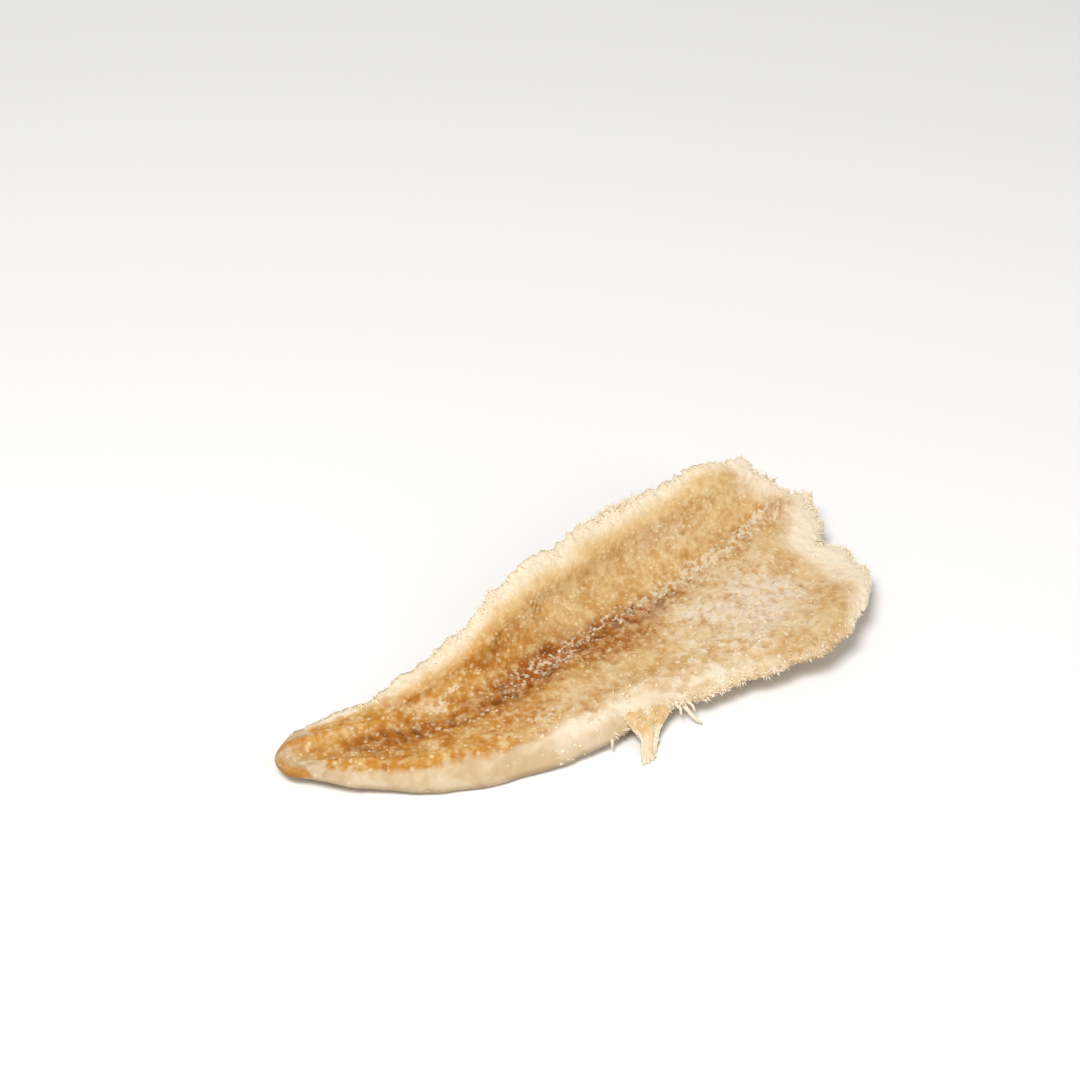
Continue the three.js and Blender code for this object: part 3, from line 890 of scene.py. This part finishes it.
# The membrane's grain only colours it: painted light on its peaks and painted shade in its hollows, as on
# the flesh.
flap_grain = lumps(flap_top.reshape(-1, 3), 0.7, 64).reshape(OUT.shape)
flap = bpy.data.objects.new("torn_membrane", woven_mesh("torn_membrane", flap_top, flap_mm, {
    "rim": (flap_rim, flap_blank),
    "crumbing": (flap_crumbing, flap_blank),
    "grain": (flap_grain, flap_blank),
}))
bpy.context.scene.collection.objects.link(flap)


def membrane_finish():
    """The flesh's own colours on a thin web that lets more light through."""
    finish = Finish("membrane")
    colour, height = flesh_colour(finish)
    finish.link(colour, finish.shader.inputs["Base Color"])
    finish.shader.inputs["Roughness"].default_value = 0.65
    pushed = finish.node("ShaderNodeBump", None, Strength=0.8, Distance=0.25 * MM, Height=height)
    finish.link(pushed.outputs["Normal"], finish.shader.inputs["Normal"])
    make_translucent(finish, 0.5, 0.8, reach=(1.0, 0.85, 0.65))
    return finish.material


flap.data.materials.append(membrane_finish())
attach(flap, "root")
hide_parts("fish_fillet")

web_crumbs = Scatter("web_crumbs", 700)
membrane_crumbs = web_crumbs.make(
    "membrane_crumbs", flap.data,
    web_crumbs.strew("crumbing", 3.5, web_crumbs.nub(), (0.15, 0.45), stretch=(0.5, 1.4)),
    fibre_material)


def thread(start, end, bow, radius):
    """A thin tapering thread between two points that bows by the vector bow, as points and faces."""
    sides = 6
    rings = 12
    share = np.linspace(0, 1, rings)
    path = start + (end - start) * share[:, None] + bow * np.sin(np.pi * share)[:, None]
    path = path + 0.16 * np.stack([lumps(path, 0.8, seed) for seed in (71, 72, 73)], 1)
    run = np.gradient(path, axis=0)
    run = run / np.linalg.norm(run, axis=1, keepdims=True)
    across = np.cross(run, (0.3, 1, 0.2))
    across = across / np.linalg.norm(across, axis=1, keepdims=True)
    other = np.cross(run, across)
    points = []
    for ring in range(rings):
        size = radius * (1.15 - 0.55 * share[ring] + 0.12 * np.sin(2.3 * ring))
        for side in range(sides):
            angle = 2 * np.pi * side / sides
            outwards = np.cos(angle) * across[ring] + np.sin(angle) * other[ring]
            points.append(path[ring] + size * outwards)
    faces = [tuple(reversed(range(sides))), tuple(range((rings - 1) * sides, rings * sides))]
    for ring in range(rings - 1):
        for side in range(sides):
            a = ring * sides + side
            b = ring * sides + (side + 1) % sides
            faces.append((a, b, b + sides, a + sides))
    return points, faces


# Each thread: its station, its reach outwards, the share of the way down that it drops, its reach
# aside, its bow and its radius. All but the station and the share are in mm.
LOOSE_THREADS = [
    (0.435, 0.6, 0.6, -0.3, 0.1, 0.34),
    (0.566, 3.4, 1.0, 1.7, -0.6, 0.46),
    (0.572, 1.3, 0.5, 0.9, 0.2, 0.34),
    (0.556, 0.9, 0.5, 0.1, 0.2, 0.34),
]
THREAD_EMBED_MM = 0.8
THREAD_REST_MM = 0.35                # how high over the surface the longest thread ends

thread_points = []
thread_faces = []
for station, out, down, aside, bow, radius in LOOSE_THREADS:
    root = near_rim(station) + np.array([0, THREAD_EMBED_MM, 0.2])
    tip = root + np.array([aside, -out - THREAD_EMBED_MM, -down * (root[2] - THREAD_REST_MM)])
    points, faces = thread(root, tip, np.array([bow, -0.3, 0.35]), radius)
    first = len(thread_points)
    thread_faces += [tuple(first + corner for corner in face) for face in faces]
    thread_points += points
threads_mesh = bpy.data.meshes.new("loose_threads")
threads_mesh.from_pydata([(x * MM, y * MM, max(z, 0) * MM) for x, y, z in thread_points], [], thread_faces)
threads_mesh.shade_smooth()
threads_mesh.materials.append(fibre_material)
threads = bpy.data.objects.new("loose_threads", threads_mesh)
bpy.context.scene.collection.objects.link(threads)
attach(threads, "root")


# ---------------------------------------------------------------------------------------------------
# Surface, light and camera: a plain pale table, a large soft light overhead with a weaker fill, and a
# long lens that looks down on the flesh side from the near edge, a little towards the tail.
# ---------------------------------------------------------------------------------------------------

TABLE_HALF = 3

floor_mesh = bpy.data.meshes.new("floor")
corners = [(x * TABLE_HALF, y * TABLE_HALF, 0) for x, y in ((-1, -1), (1, -1), (1, 1), (-1, 1))]
floor_mesh.from_pydata(corners, [], [(0, 1, 2, 3)])
floor = bpy.data.objects.new("floor", floor_mesh)
bpy.context.scene.collection.objects.link(floor)
floor_finish = Finish("pale_table")
floor_finish.shader.inputs["Base Color"].default_value = (0.9, 0.9, 0.9, 1)
floor_finish.shader.inputs["Roughness"].default_value = 0.9
floor_finish.shader.inputs["Specular IOR Level"].default_value = 0.1
floor.data.materials.append(floor_finish.material)


def soft_light(name, place, size, power, colour):
    """A square soft light, size metres across, that points at the middle of the table."""
    lamp = bpy.data.lights.new(name, "AREA")
    lamp.shape = "SQUARE"
    lamp.size = size
    lamp.energy = power
    lamp.color = colour
    holder = bpy.data.objects.new(name, lamp)
    holder.location = place
    holder.rotation_euler = (-Vector(place)).to_track_quat("-Z", "Y").to_euler()
    bpy.context.scene.collection.objects.link(holder)


soft_light("overhead", (-0.30, -0.16, 0.72), 0.36, 5.3, (1.0, 0.985, 0.96))
soft_light("near_fill", (0.35, -0.60, 0.40), 0.50, 1.3, (1.0, 0.97, 0.93))

world = bpy.data.worlds.new("studio")
world.use_nodes = True
sky = world.node_tree.nodes["Background"]
sky.inputs["Color"].default_value = (1, 1, 1, 1)
sky.inputs["Strength"].default_value = 0.38
bpy.context.scene.world = world
bpy.context.scene.view_settings.view_transform = "Standard"

HEADING = np.radians(31)
ELEVATION = np.radians(38)
LENS_MM = 85
SENSOR_MM = 36
FRAME_WIDTH = 0.2052                 # of the scene, at the fillet
AIM = Vector((0, 0, 0.004)) + Vector(shift_mm * MM)
AIM_PLACE = (0.0287, -0.0889)        # the aim point, right of and above the frame's centre, as shares

right = Vector((np.cos(HEADING), -np.sin(HEADING), 0))
level = Vector((np.sin(HEADING), np.cos(HEADING), 0))
ahead = level * np.cos(ELEVATION) + Vector((0, 0, -np.sin(ELEVATION)))
above = right.cross(ahead)
distance = FRAME_WIDTH * LENS_MM / SENSOR_MM
camera_data = bpy.data.cameras.new("camera")
camera_data.lens = LENS_MM
camera_data.sensor_width = SENSOR_MM
camera = bpy.data.objects.new("camera", camera_data)
bpy.context.scene.collection.objects.link(camera)
stand = AIM - right * AIM_PLACE[0] * FRAME_WIDTH - above * AIM_PLACE[1] * FRAME_WIDTH - ahead * distance
camera.matrix_world = Matrix((
    (right.x, above.x, -ahead.x, stand.x),
    (right.y, above.y, -ahead.y, stand.y),
    (right.z, above.z, -ahead.z, stand.z),
    (0, 0, 0, 1),
))
bpy.context.scene.camera = camera

bpy.context.view_layer.update()
